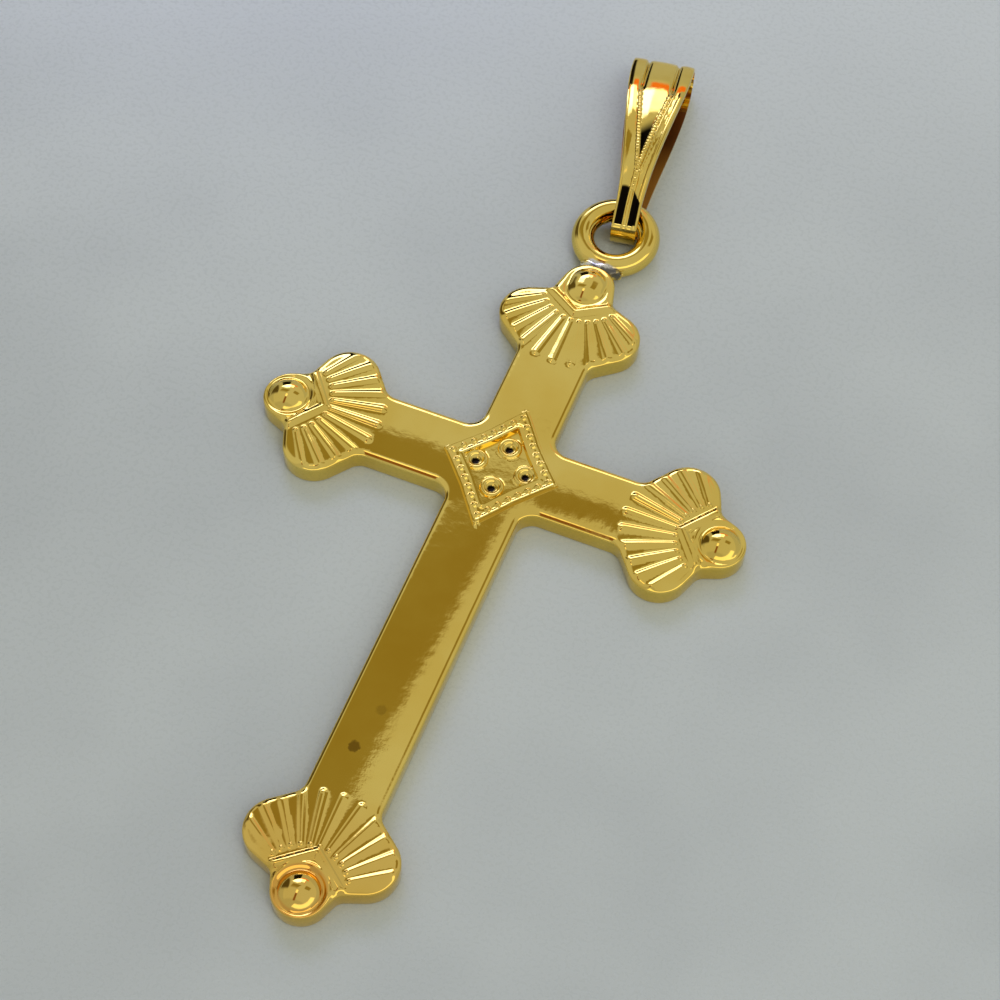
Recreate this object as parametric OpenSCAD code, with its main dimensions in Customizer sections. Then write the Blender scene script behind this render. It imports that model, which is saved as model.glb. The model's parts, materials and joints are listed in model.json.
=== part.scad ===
// A flat cast cross pendant with trefoil ends, a soldered ring and a folded bail.
// The cross lies on its back on z = 0, face up, with its long axis along Y and the ring at +Y.
// The origin is on the back, under the middle of the medallion. All sizes are millimetres.

/* [Cross plate] */
// Thickness of the plate
plate_t = 1.2; // [0.9:0.1:1.6]
// Width of the four arms
arm_w = 3.9; // [3.2:0.1:4.4]
// Bevel along the top edges
bevel = 0.22; // [0.1:0.02:0.3]
// Radius of the fillets where the arms cross
cross_fillet_r = 0.9; // [0.5:0.1:1.2]
// Distance from the middle to the dome of each side arm
side_reach = 11.8; // [10:0.1:14]
// Distance from the middle to the dome of the top arm
top_reach = 12.25; // [10:0.05:14]
// Distance from the middle to the dome of the foot
foot_reach = 24.8; // [20:0.1:28]

/* [Trefoil ends] */
// Radius of the two side lobes
lobe_r = 1.62; // [1.4:0.02:1.8]
// Distance of a side lobe's centre from the arm's axis
lobe_out = 2.25; // [2.1:0.05:2.4]
// Distance of a side lobe's centre from the dome, towards the middle
lobe_back = 2.45; // [2.3:0.05:2.6]
// Radius of the end lobe
end_r = 1.45; // [1.35:0.05:1.55]
// How much further the top end lobe reaches than the others
top_extra = 0.42; // [0:0.02:0.6]

/* [Relief] */
// Radius of the domes
dome_r = 0.95; // [0.8:0.05:1.05]
// Height of the domes above the face
dome_h = 0.44; // [0.3:0.02:0.6]
// Radius of the shallow pocket round a dome
pocket_r = 1.2; // [1.1:0.05:1.25]
// Depth of the pocket
pocket_d = 0.12; // [0.06:0.02:0.2]
// Number of rays at each end
rays = 11; // [7:2:13]
// Half of the angle that the rays span, in degrees
ray_spread = 57; // [50:1:58]
// Radius of a ray at its inner end
ray_r_in = 0.12; // [0.08:0.01:0.16]
// Radius of a ray at its outer end
ray_r_out = 0.22; // [0.16:0.01:0.24]
// Radius of the chevron's ribs
chevron_r = 0.24; // [0.18:0.02:0.3]

/* [Medallion] */
// Half of the medallion's diagonal across the arms
lozenge_x = 3.1; // [2.8:0.05:3.2]
// Half of the medallion's diagonal along the long axis
lozenge_y = 3.75; // [3.4:0.05:3.9]
// Height of the medallion's border above the face
lozenge_h = 0.2; // [0.12:0.02:0.3]
// Beads on each side of the border, with both corners
beads_a_side = 8; // [6:1:10]
// Radius of a bead
bead_r = 0.19; // [0.15:0.01:0.24]
// Distance of the two cups across the arms from the middle
cup_x = 1.35; // [1.1:0.05:1.4]
// Distance of the two cups along the long axis from the middle
cup_y = 1.25; // [1.1:0.05:1.4]
// Radius of the raised ring round a cup
cup_ring_r = 0.48; // [0.42:0.02:0.54]

/* [Ring] */
// Radius of the ring, to the middle of its wire
ring_r = 1.78; // [1.6:0.02:2]
// Radius of the ring's wire
ring_wire_r = 0.62; // [0.5:0.02:0.64]
// Tilt of the ring, its far side up, in degrees
ring_tilt = 6; // [4:0.5:8]
// Sideways offset of the soldered ring
ring_dx = 0.2; // [0:0.05:0.3]

/* [Bail] */
// Length of the bail from the ring's wire to its rounded end
bail_reach = 10.55; // [9:0.05:12]
// Length of the bail from the ring's wire to its closed foot
bail_foot = 1.9; // [1.85:0.05:2.2]
// Turn of the bail from the cross's long axis, in degrees
bail_yaw = 9; // [0:0.5:10]
// Thickness of the bail's metal
bail_t = 0.26; // [0.22:0.01:0.3]
// Radius of the long curve of the bail's front
bail_arc_r = 14; // [12:0.5:20]
// Depth of the bail at its rounded end
bail_end_depth = 2.5; // [2.2:0.1:3]
// Depth of the bail at its closed foot
bail_foot_depth = 2.1; // [2:0.02:2.3]

/* [Hidden] */
$fn = 48;
eps = 0.01;
graze = 0.005;
// How deep a raised piece is rooted in the metal below it
root = 0.4;
// How far a shape that cuts or bounds the metal reaches past it
past = 1;
gold = [0.80, 0.64, 0.24];
deep_gold = [0.74, 0.56, 0.18];
solder_grey = [0.72, 0.72, 0.70];

// The trefoil ends: which way each arm points, how far its dome is, how much further its end
// lobe reaches, and how far the chevron's point is from the dome.
ANGLE = 0;
REACH = 1;
EXTRA = 2;
APEX = 3;
end_rows = [
    [0, top_reach, top_extra, 1.75],
    [90, side_reach, 0, 2.05],
    [-90, side_reach, 0, 2.05],
    [180, foot_reach, 0, 2.05],
];

// Outline of an end on its right side, seen from its dome: the notch where it meets the arm, the
// centre of the side lobe and the notch below the end lobe
arm_notch = [arm_w / 2, -4.75];
lobe_c = [lobe_out, -lobe_back];
neck_notch = [1.7, -0.5];
end_centre_back = 0.15;
// The bars of the arms end this far before the domes, inside the ends
arm_stop = 2;
// Widths of the bars along an end's edges: beside the arm, beside the neck and at the tip
arm_bar_w = 1.6;
neck_bar_w = 1.3;
tip_bar_w = 1.2;
core_w = 2.4;
// The relief is cut off just inside the edge, and reaches a little way along the arm
relief_inset = 0.05;
relief_arm = 1.5;
relief_h = 1;

// Rays: their inner ends lie round the dome, their outer ends on a wider arc
ray_start_r = 2.3;
ray_arc_r = 4.0;
ray_arc_back = 1.0;
ray_sink = 0.03;
ball_extra = 0.01;
chevron_end = [1.82, 0.62];
chevron_sink = 0.05;

// A dome that is drawn out is longer by this share of its end lobe's extra reach
dome_stretch = 0.9;
dome_slot_inset = 0.1;

// Medallion steps
field_x = lozenge_x - 1.1;
field_y = lozenge_y - 1.32;
field_d = 0.12;
bead_x = lozenge_x - 0.37;
bead_y = lozenge_y - 0.44;
rim_x = 0.14;
rim_y = 0.17;
// Where the middle of a lozenge's side lies between the corners' axes: 0.5 is straight, less is
// hollow
side_mid = 0.48;
cup_wire_r = 0.15;
cup_hollow_r = 0.4;
cup_hollow_lift = 0.18;

// Ring: its near side meets the end of the top lobe, its far side clears the bail's back
lobe_tip = top_reach - end_centre_back + top_extra + end_r;
ring_bite = 0.03;
ring_y = lobe_tip - ring_bite + (ring_r + ring_wire_r) * cos(ring_tilt);
ring_z = 0.84;
hinge_y = ring_y + ring_r * cos(ring_tilt);
hinge_z = ring_z + ring_r * sin(ring_tilt);
solder_r = 0.42;
solder_half = 0.75;
solder_y = lobe_tip + 0.05;

// Bail: its middle line crosses the ring's wire a little beside the ring's top
bail_x = 0.3;
bail_w_max = 4;
foot_ball_r = bail_foot_depth / 2;
end_ball_r = bail_end_depth / 2;
foot_s = foot_ball_r - bail_foot;
end_s = bail_reach - end_ball_r;
foot_mid = [foot_s, foot_ball_r];
end_mid = [end_s, end_ball_r];
arc_c = touching_centre(foot_mid, bail_arc_r - foot_ball_r, end_mid, bail_arc_r - end_ball_r);
arc_foot = unit(foot_mid - arc_c);
arc_end = unit(end_mid - arc_c);
bend_s = end_mid.x + arc_end.x * end_ball_r;
bail_top = arc_c.y + bail_arc_r;
// Half widths of the bail along its length: distance from the ring's wire, then half width
leaf = [
    [-3, 0.69], [-0.6, 0.69], [0, 0.74], [2, 0.92], [4, 1.2], [6, 1.5], [7.6, 1.66], [9, 1.74],
    [11, 1.7]
];
line_r = 0.14;
line_sink = 0.03;
spine_r = 0.2;
spine_sink = 0.08;
line_x = 0.85;
groove_r = 0.17;
groove_lift = 0.04;
groove_ball_r = 0.2;
v_point = [0.05, 1.75];
v_top_s = 7;
line_steps = 6;
lip_s = -1.78;
lip_lift = 0.06;
lip_depth = 0.5;
lip_root = 0.03;

// Distance of the point on the ray arc from the dome, in the direction a
function ray_end(a) = ray_arc_back * cos(a) + sqrt(pow(ray_arc_r, 2) - pow(ray_arc_back * sin(a), 2));

// Point where the tangent from p meets the circle at c, on the side that s (1 or -1) gives. It is
// found just inside the circle, so that a straight edge and the arc cross instead of only touching.
function tangent_point(p, c, r, s) =
    let (d = norm(p - c), a = atan2(p.y - c.y, p.x - c.x), b = acos((r - graze) / d))
    c + (r - graze) * [cos(a + s * b), sin(a + s * b)];

// Vector of length 1
function unit(v) = v / norm(v);

// Point at the distance ra from a and rb from b, below the line from a to b
function touching_centre(a, ra, b, rb) =
    let (d = norm(b - a), way = unit(b - a), k = (ra * ra - rb * rb + d * d) / (2 * d))
    a + way * k + [way.y, -way.x] * sqrt(ra * ra - k * k);

// Straight bar from p to q with bevelled top edges, its outer edge on the line p-q and its body
// on the side that s gives; it starts a little before p, inside the metal behind a notch
module edge_bar(p, q, w, s) {
    v = q - p;
    lead = 0.9; // run-up behind the notch
    translate([p.x, p.y, 0])
        rotate([0, 0, atan2(v.y, v.x)])
            translate([-lead, s > 0 ? 0 : -w, 0])
                bevelled_bar(norm(v) + lead, w);
}

// Bar along X with its lower left corner at the origin and bevelled long top edges
module bevelled_bar(length, w) {
    rotate([90, 0, 90])
        linear_extrude(length)
            polygon([
                [0, 0], [w, 0], [w, plate_t - bevel], [w - bevel, plate_t],
                [bevel, plate_t], [0, plate_t - bevel]
            ]);
}

// Round disc of the plate with a bevelled top edge
module bevelled_disc(r) {
    rotate_extrude()
        polygon([[0, 0], [r, 0], [r, plate_t - bevel], [r - bevel, plate_t], [0, plate_t]]);
}

// Fillet in the corner between two arms
module crossing_fillet(sx, sy) {
    c = arm_w / 2 + cross_fillet_r;
    inner = arm_w / 2 - bevel - root;
    difference() {
        translate([sx > 0 ? inner : -c, sy > 0 ? inner : -c, 0])
            cube([c - inner, c - inner, plate_t]);
        translate([sx * c, sy * c, -eps])
            cylinder(h = plate_t + 2 * eps, r = cross_fillet_r);
        translate([sx * c, sy * c, plate_t - bevel])
            cylinder(h = bevel + eps, r1 = cross_fillet_r, r2 = cross_fillet_r + bevel + eps);
    }
}

// Centre of the end lobe, seen from the dome
function end_c(extra) = [0, extra - end_centre_back];

// Plate of one end, with its dome at the origin and the arm coming from -Y
module end_plate(extra) {
    translate([0, end_c(extra).y, 0])
        bevelled_disc(end_r);
    for (m = [0, 1]) mirror([m, 0, 0]) {
        translate([lobe_c.x, lobe_c.y, 0])
            bevelled_disc(lobe_r);
        edge_bar(arm_notch, tangent_point(arm_notch, lobe_c, lobe_r, 1), arm_bar_w, 1);
        edge_bar(neck_notch, tangent_point(neck_notch, lobe_c, lobe_r, -1), neck_bar_w, -1);
        edge_bar(neck_notch, tangent_point(neck_notch, end_c(extra), end_r, 1), tip_bar_w, 1);
    }
    translate([-core_w / 2, arm_notch.y, 0])
        cube([core_w, -arm_notch.y - 2 * end_centre_back, plate_t]);
}

// Flat outline of one end and a piece of its arm, a little inside the edge of the plate
module end_outline(extra) {
    t = relief_inset;
    notch = arm_notch - [t, 0];
    neck = neck_notch - [t, 0];
    side = [
        notch - [0, relief_arm], notch, tangent_point(notch, lobe_c, lobe_r - t, 1), lobe_c,
        tangent_point(neck, lobe_c, lobe_r - t, -1), neck,
        tangent_point(neck, end_c(extra), end_r - t, 1)
    ];
    polygon(concat(
        side, [end_c(extra)],
        [for (i = [len(side) - 1 : -1 : 0]) [-side[i].x, side[i].y]]
    ));
    translate(end_c(extra))
        circle(r = end_r - t);
    for (s = [-1, 1])
        translate([s * lobe_c.x, lobe_c.y])
            circle(r = lobe_r - t);
}

// Dome, drawn out by extra along Y
module dome(extra) {
    ball_r = (pow(dome_r, 2) + pow(dome_h, 2)) / (2 * dome_h);
    stretch = extra * dome_stretch;
    intersection() {
        translate([0, 0, plate_t + dome_h - ball_r]) {
            sphere(r = ball_r);
            if (extra > 0) {
                rotate([-90, 0, 0])
                    cylinder(h = stretch, r = ball_r);
                translate([0, stretch, 0])
                    sphere(r = ball_r);
            }
        }
        translate([-pocket_r, -pocket_r, plate_t - pocket_d - root])
            cube([2 * pocket_r, 2 * pocket_r + stretch, pocket_d + root + dome_h + eps]);
    }
}

// Shallow pocket that a dome stands in
module dome_pocket(extra) {
    stretch = extra * dome_stretch;
    slot_r = pocket_r - dome_slot_inset;
    translate([0, 0, plate_t - pocket_d]) {
        cylinder(h = plate_t, r = pocket_r);
        if (extra > 0) {
            translate([0, stretch, 0])
                cylinder(h = plate_t, r = slot_r);
            translate([-slot_r, 0, 0])
                cube([2 * slot_r, stretch, plate_t]);
        }
    }
}

// Rod from p to q at the height z, with its own radius and a ball at each end
module rib(p, q, z, r1, r2) {
    v = q - p;
    translate([p.x, p.y, z])
        rotate([0, 90, atan2(v.y, v.x)])
            cylinder(h = norm(v), r1 = r1, r2 = r2);
    translate([p.x, p.y, z])
        sphere(r = r1 + ball_extra);
    translate([q.x, q.y, z])
        sphere(r = r2 + ball_extra);
}

// Fan of rays, from round the dome towards the arm
module ray_fan() {
    for (i = [0 : rays - 1]) {
        a = -ray_spread + 2 * ray_spread * i / (rays - 1);
        dir = [sin(a), -cos(a)];
        rib(dir * ray_start_r, dir * ray_end(a), plate_t - ray_sink, ray_r_in, ray_r_out);
    }
}

// Raised V between the dome and the rays
module chevron(apex) {
    for (s = [-1, 1])
        rib([0, -apex], [s * chevron_end.x, -chevron_end.y], plate_t - chevron_sink,
            chevron_r, chevron_r);
}

// Chevron and rays of one end, cut off at the edge of the plate
module end_relief(row) {
    intersection() {
        union() {
            chevron(row[APEX]);
            ray_fan();
        }
        translate([0, 0, plate_t - relief_h / 2])
            linear_extrude(relief_h)
                end_outline(row[EXTRA]);
    }
}

// Lozenge with slightly hollow sides
module lozenge(x, y, h) {
    m = side_mid * [x, y];
    linear_extrude(h)
        polygon([
            [x, 0], m, [0, y], [-m.x, m.y], [-x, 0], -m, [0, -y], [m.x, -m.y]
        ]);
}

// Raised medallion: an outer and an inner rim, with a channel for the beads between them
module medallion_plate() {
    difference() {
        translate([0, 0, plate_t - root])
            lozenge(lozenge_x, lozenge_y, root + lozenge_h);
        translate([0, 0, plate_t + lozenge_h / 2])
            difference() {
                lozenge(lozenge_x - rim_x, lozenge_y - rim_y, lozenge_h);
                translate([0, 0, -eps])
                    lozenge(field_x + rim_x, field_y + rim_y, lozenge_h + 2 * eps);
            }
    }
}

// Beads on the border of the medallion
module medallion_beads() {
    steps = beads_a_side - 1;
    for (sx = [-1, 1], sy = [-1, 1], i = [0 : steps - 1]) {
        // each side starts at its own corner, so that no corner has two beads
        k = (sx * sy > 0 ? i : i + 1) / steps;
        pull = 1 - (1 - 2 * side_mid) * (1 - abs(2 * k - 1));
        translate([sx * bead_x * (1 - k) * pull, sy * bead_y * k * pull, plate_t + lozenge_h / 2])
            sphere(r = bead_r);
    }
}

// The four places of the cups, one towards each corner of the medallion
module at_cups() {
    for (p = [[cup_x, 0], [-cup_x, 0], [0, cup_y], [0, -cup_y]])
        translate([p.x, p.y, plate_t - field_d])
            children();
}

// Raised ring of a cup
module cup_ring() {
    rotate_extrude()
        translate([cup_ring_r, 0])
            circle(r = cup_wire_r);
}

// Hollow of a cup
module cup_hollow() {
    translate([0, 0, cup_hollow_lift])
        sphere(r = cup_hollow_r);
}

// Arms, fillets and ends: the whole plate
module cross_plate() {
    translate([-side_reach + arm_stop, -arm_w / 2, 0])
        bevelled_bar(2 * (side_reach - arm_stop), arm_w);
    rotate([0, 0, 90])
        translate([-foot_reach + arm_stop, -arm_w / 2, 0])
            bevelled_bar(foot_reach + top_reach - 2 * arm_stop, arm_w);
    for (sx = [-1, 1], sy = [-1, 1])
        crossing_fillet(sx, sy);
    for (row = end_rows)
        rotate([0, 0, row[ANGLE]])
            translate([0, row[REACH], 0])
                end_plate(row[EXTRA]);
}

// Plain round ring, tilted a little so that the bail passes under its far side
module ring() {
    translate([ring_dx, ring_y, ring_z])
        rotate([ring_tilt, 0, 0])
            rotate_extrude()
                translate([ring_r, 0])
                    circle(r = ring_wire_r);
}

// Solder between the ring and the top lobe
module solder() {
    color(solder_grey)
        translate([ring_dx, solder_y, plate_t / 2]) {
            translate([-solder_half, 0, 0])
                rotate([0, 90, 0])
                    cylinder(h = 2 * solder_half, r = solder_r);
            for (s = [-1, 1])
                translate([s * solder_half, 0, 0])
                    sphere(r = solder_r + ball_extra);
        }
}

// Plate and medallion, with the pockets of the domes and the sunk field taken out
module hollowed_plate() {
    difference() {
        union() {
            cross_plate();
            medallion_plate();
        }
        for (row = end_rows)
            rotate([0, 0, row[ANGLE]])
                translate([0, row[REACH], 0])
                    dome_pocket(row[EXTRA]);
        translate([0, 0, plate_t - field_d])
            lozenge(field_x, field_y, plate_t);
    }
}

module cross() {
    color(gold) {
        difference() {
            union() {
                hollowed_plate();
                at_cups()
                    cup_ring();
            }
            at_cups()
                cup_hollow();
        }
        for (row = end_rows)
            rotate([0, 0, row[ANGLE]])
                translate([0, row[REACH], 0]) {
                    dome(row[EXTRA]);
                    end_relief(row);
                }
        medallion_beads();
        ring();
    }
    solder();
}

// Side outline of the bail, s along its length and z up, inset by t: a round foot and a round end,
// joined by the long curve of the front. The curve lies just inside both, so that they cross.
module bail_side(t) {
    beyond = 2 * bail_arc_r; // far enough out for the straight side there to clear the curve
    translate(foot_mid)
        circle(r = foot_ball_r - t);
    translate(end_mid)
        circle(r = end_ball_r - t);
    intersection() {
        translate(arc_c)
            circle(r = bail_arc_r - t - graze);
        polygon([
            [foot_mid.x, t], [end_mid.x, t], end_mid, arc_c + arc_end * beyond,
            arc_c + arc_foot * beyond, foot_mid
        ]);
    }
}

// Side outline drawn out over the full width of the bail
module across_bail() {
    rotate([90, 0, 90])
        translate([0, 0, -bail_w_max / 2])
            linear_extrude(bail_w_max)
                children();
}

// Outline of the bail seen from the front
module bail_leaf() {
    polygon(concat(
        [for (row = leaf) [row[1], row[0]]],
        [for (i = [len(leaf) - 1 : -1 : 0]) [-leaf[i][1], leaf[i][0]]]
    ));
}

// Height of the bail's front above the surface at the distance s
function front_z(s) = arc_c.y + sqrt(pow(bail_arc_r, 2) - pow(s - arc_c.x, 2));

// Rod of radius r, sunk in the front of the bail, between two places, each [sideways, along]
module front_line(p, q, r, sink) {
    a = [p.x, p.y, front_z(p.y) - sink];
    b = [q.x, q.y, front_z(q.y) - sink];
    v = b - a;
    translate(a)
        rotate([0, atan2(norm([v.x, v.y]), v.z), atan2(v.y, v.x)])
            cylinder(h = norm(v), r = r);
    translate(a)
        sphere(r = r + ball_extra);
    translate(b)
        sphere(r = r + ball_extra);
}

// Raised line that follows the curve of the front in short straight steps
module curved_line(p, q, r, sink) {
    way = (q - p) / line_steps;
    for (i = [0 : line_steps - 1])
        front_line(p + way * i, p + way * (i + 1), r, sink);
}

// Beaded lines of the front: a spine from the lip to the point of the V, and the V's two arms
module front_lines() {
    curved_line([0, lip_s + spine_r], v_point, spine_r, spine_sink);
    for (s = [-1, 1])
        curved_line(v_point, [s * line_x, v_top_s], line_r, line_sink);
}

// Round groove along a curve of the side, between the distances s1 and s2
module curved_groove(x, centre, r, s1, s2) {
    intersection() {
        translate([x, centre.x, centre.y])
            rotate([0, 90, 0])
                rotate_extrude()
                    translate([r + groove_lift, 0])
                        circle(r = groove_r);
        translate([x - line_x, s1, -bail_t])
            cube([2 * line_x, s2 - s1, bail_top + past]);
    }
}

// Groove between two panels: from the end of a line along the front, then over the round end, with
// a ball where the two curves meet
module panel_groove(x) {
    joint = end_mid + arc_end * (end_ball_r + groove_lift);
    curved_groove(x, arc_c, bail_arc_r, v_top_s, bend_s);
    curved_groove(x, end_mid, end_ball_r, bend_s, bail_reach + past);
    translate([x, joint.x, joint.y])
        sphere(r = groove_ball_r);
}

// Side outline of the lip in which the front panel ends over the round foot
module lip_side() {
    polygon([
        [foot_s, front_z(foot_s) - lip_root], [lip_s, front_z(lip_s) + lip_lift],
        [lip_s, front_z(lip_s) - lip_depth], [foot_s, front_z(foot_s) - lip_depth]
    ]);
}

module bail() {
    color(deep_gold)
        translate([bail_x, hinge_y, 0])
            rotate([0, 0, bail_yaw])
                difference() {
                    union() {
                        intersection() {
                            across_bail() {
                                bail_side(0);
                                lip_side();
                            }
                            linear_extrude(bail_top + past)
                                bail_leaf();
                        }
                        front_lines();
                    }
                    across_bail()
                        bail_side(bail_t);
                    for (s = [-1, 1])
                        panel_groove(s * line_x);
                }
}

cross();
bail();
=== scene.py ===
import json
import math

import bpy
import numpy as np
from mathutils import Matrix, Vector
from mathutils.geometry import delaunay_2d_cdt


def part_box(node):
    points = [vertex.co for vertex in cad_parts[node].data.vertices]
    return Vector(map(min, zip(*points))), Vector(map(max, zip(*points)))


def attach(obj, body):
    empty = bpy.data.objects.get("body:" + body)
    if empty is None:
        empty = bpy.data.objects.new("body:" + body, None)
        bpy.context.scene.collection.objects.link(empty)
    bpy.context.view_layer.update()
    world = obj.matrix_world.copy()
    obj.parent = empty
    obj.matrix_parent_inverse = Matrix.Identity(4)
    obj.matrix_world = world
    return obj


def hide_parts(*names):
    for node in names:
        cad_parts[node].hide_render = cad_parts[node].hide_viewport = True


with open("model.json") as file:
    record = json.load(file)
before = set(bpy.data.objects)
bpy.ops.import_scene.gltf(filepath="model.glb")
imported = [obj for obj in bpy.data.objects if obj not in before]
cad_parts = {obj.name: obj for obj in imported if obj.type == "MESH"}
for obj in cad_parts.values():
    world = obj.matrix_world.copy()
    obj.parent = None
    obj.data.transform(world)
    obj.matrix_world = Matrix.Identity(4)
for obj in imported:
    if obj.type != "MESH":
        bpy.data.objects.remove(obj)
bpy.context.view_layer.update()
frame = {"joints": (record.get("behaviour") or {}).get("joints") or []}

# A cast gold cross pendant with trefoil ends, its soldered ring and its folded bail, lying face up
# on a pale table. Lengths are millimetres, in the frame's axes: the long axis along Y, the ring at
# +Y, the back on z = 0. MM turns them into the metres that Blender gets. At the end of a name, R is
# a radius, H a height, D a depth, T a thickness and W a width.
MM = 0.001
cross_low, cross_high = [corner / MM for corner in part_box("cross")]

# Plate
PLATE_T = 1.2
ARM_HALF = 1.95
CROSS_FILLET = 0.9
ARM_FILLET = 0.3
NECK_FILLET = 0.18
EDGE_W = 0.32
EDGE_H = 0.2
BACK_EDGE_R = 0.12
CROWN = 0.045
SHOULDER_H = 0.02
SHOULDER_REACH = 0.45

# Trefoil ends, seen from their dome with the arm coming from below
LOBE = np.array([2.25, -2.45])
LOBE_R = 1.62
END_R = 1.45
END_BACK = 0.15
ARM_NOTCH = np.array([ARM_HALF, -4.75])
NECK_NOTCH = np.array([1.7, -0.5])
MIRROR = np.array([-1, 1])
TOP_EXTRA = 0.42
SIDE_REACH = cross_high.x - END_R + END_BACK
FOOT_REACH = -cross_low.y - END_R + END_BACK
TOP_REACH = 12.25

# Dome, pocket and rim of an end. A dome is drawn out by a share of what its end has extra, and by
# the least length at the others.
DOME_R = 0.95
DOME_H = 0.42
DOME_BALL_R = (DOME_R**2 + DOME_H**2) / (2 * DOME_H)
DOME_DRAWN_OUT = 0.9
DOME_LEAST = 0.01
DOME_FILLET = 0.05
POCKET_R = 1.2
POCKET_SLOPE = POCKET_R - 0.12, POCKET_R + 0.06
RIM_R = 1.36
RIM_HALF = 0.1
RIM_END_R = 1.6

# Rays and chevron of an end
RAYS = 11
RAY_SPREAD = math.radians(57)
RAY_START = 2.3
RAY_ARC_R = 4.0
RAY_ARC_BACK = 1.0
RAY_R_IN = 0.15
RAY_R_OUT = 0.23
RAY_RISE = 0.3
RAY_BEAD_R_IN = 0.13
RAY_BEAD_R_OUT = 0.19
RAY_BEAD_RISE_IN = 0.7
RAY_BEAD_RISE_OUT = 0.42
CHEVRON_END = np.array([1.82, -0.62])
CHEVRON_R = 0.26
CHEVRON_H = 0.13
RIB_FADE = 0.04, 0.3
RIB_FILLET = 0.02
RIB_NONE = -1.0  # height of the ribs where there is none
RIB_FILLET_END = -0.5  # and the one below which no fillet rises to them

# Medallion
LOZENGE = np.array([3.1, 3.75])
FIELD = np.array([2.0, 2.43])
BEAD_LINE = np.array([2.6, 3.15])
SIDE_MID = 0.48
BORDER_H = 0.1
RIDGE_H = 0.16
RIDGE_TOP = 0.14
RIDGE_FOOT = 0.34
WALL_HALF = 0.03
FIELD_D = 0.12
BEADS_A_SIDE = 8
BEAD_R = 0.18
BEAD_H = 0.14
CUPS = [np.array([1.35, 0]), np.array([0, 1.25])]
CUP_RING_R = 0.48
CUP_WIRE_R = 0.15
CUP_BOWL_R = 0.42
CUP_BOWL_D = 0.07
CUP_BOWL_RISE = 0.21
CUP_BOWL_POWER = 1.5

# Rows of mesh points that follow the relief: at these shares of a form's half width, at these
# distances from a wall, or at these radii. The gaps are those along a row.
RIB_ROWS = 0, 0.35, 0.65, 0.85, 1, 1.2
BEAD_ROWS = 0, 0.35, 0.65, 0.85, 1, 1.15
WALL_ROWS = np.array([-0.03, 0, 0.03, 0.08, 0.14, 0.19, 0.24, 0.29, 0.34])
CUP_ROWS = 0, 0.1, 0.18, 0.25, 0.31, 0.36, 0.4, 0.44, 0.48, 0.52, 0.56, 0.6, 0.63, 0.67
DOME_ROWS = np.concatenate([np.arange(0.1, 0.85, 0.1), np.arange(0.85, RIM_END_R, 0.05)])
RIB_GAP = 0.09
ROUND_GAP = 0.08
OUTER_BEAD_GAP = 0.07
BEAD_GAP = 0.06

# Ring and its solder
RING_R = 1.78
WIRE_R = 0.62
RING_TILT = math.radians(6)
RING_X = 0.2
RING_Z = 0.84
RING_Y = cross_high.y - RING_R * math.cos(RING_TILT) - WIRE_R
SOLDER_HALF = 1.15, 0.42, 0.5
SOLDER_PAST_END = 0.1
SOLDER_Z = 0.66
SOLDER_BOW = 0.08
GREY_HALF = 1.25, 0.42, 0.62
GREY_PAST_END = 0.12
GREY_Z = 0.75

# Bail. Its own place is (x, s): across it, and along it from the ring's wire.
HINGE = Vector([v / MM for v in frame["joints"][0]["pos_m"]])
BAIL_X = 0.3
BAIL_YAW = math.radians(9)
BAIL_COS, BAIL_SIN = math.cos(BAIL_YAW), math.sin(BAIL_YAW)
BAIL_T = 0.26
BAIL_EDGE_R = 0.07
BAIL_NARROW = 0.69
BAIL_WIDE = 1.74
BAIL_TAPER = -1.2, 9.6
BAIL_REACH = 10.55
BAIL_FOOT = 1.9
FRONT_R = 14.0
FOOT_BALL_R = 1.05
END_BALL_R = 1.25
FOOT_S = FOOT_BALL_R - BAIL_FOOT
END_S = BAIL_REACH - END_BALL_R
LIP_S = -1.78
LIP_RISE = 0.06
LIP_INNER_TURN = 0.8  # share of its way round the foot that the inside makes at the lip

# Lines and panels on the bail's front
V_POINT = 0.05, 1.4
V_TOP = 0.85, 7.0
V_START = V_POINT[1] - 0.1, V_POINT[1] + 0.3
V_END = V_TOP[1] - 0.3, V_TOP[1] + 0.5
GRAIN_PITCH = 0.2
GRAIN_HALF = 0.12
GRAIN_H = 0.09
RAIL_OFF = 0.2
RAIL_HALF = 0.08
RAIL_H = 0.08
SPINE_GRAIN_HALF = 0.13
SPINE_GRAIN_START = 0.1, 0.4
SPINE_RAIL_OFF = 0.12
SPINE_RAIL_HALF = 0.06
RIGHT_BORDER_HALF = 0.15
RIGHT_BORDER_H = 0.08
LEFT_BORDER_HALF = 0.07
LEFT_BORDER_H = 0.05
LIP_BORDER_OFF = 0.1
LIP_BORDER_HALF = 0.08
PANEL_D = 0.05
FOOT_PANEL_D = 0.02
PANEL_START = V_POINT[1] - 0.5, V_POINT[1] + 0.5
PANEL_LEAST_HALF = 0.3
SIDE_PANEL_LEAST_HALF = 0.2
GROOVE_D = 0.12
GROOVE_HALF = 0.1
BEND_FADE = 0.45, 0.9


# Shapes in the plane

def smooth_step(value, start, end):
    """0 before start, 1 after end, an even curve between."""
    t = np.clip((value - start) / (end - start), 0, 1)
    return t * t * (3 - 2 * t)


def soft_max(a, b, softness):
    """The larger of two heights, with a small fillet where they meet."""
    return (a + b + np.sqrt((a - b) ** 2 + softness**2)) / 2


def hump(off, radius, top):
    """Height of a rounded form over its foot, negative outside it."""
    return top * (1 - (off / radius) ** 2)


def unit(angle):
    """The direction of length 1 at an angle."""
    return np.array([math.cos(angle), math.sin(angle)])


def angle_of(way):
    """The angle of a direction."""
    return math.atan2(way[1], way[0])


def to_circle(x, y, centre, radius):
    """Distance to a circle, negative inside."""
    return np.hypot(x - centre[0], y - centre[1]) - radius


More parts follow.
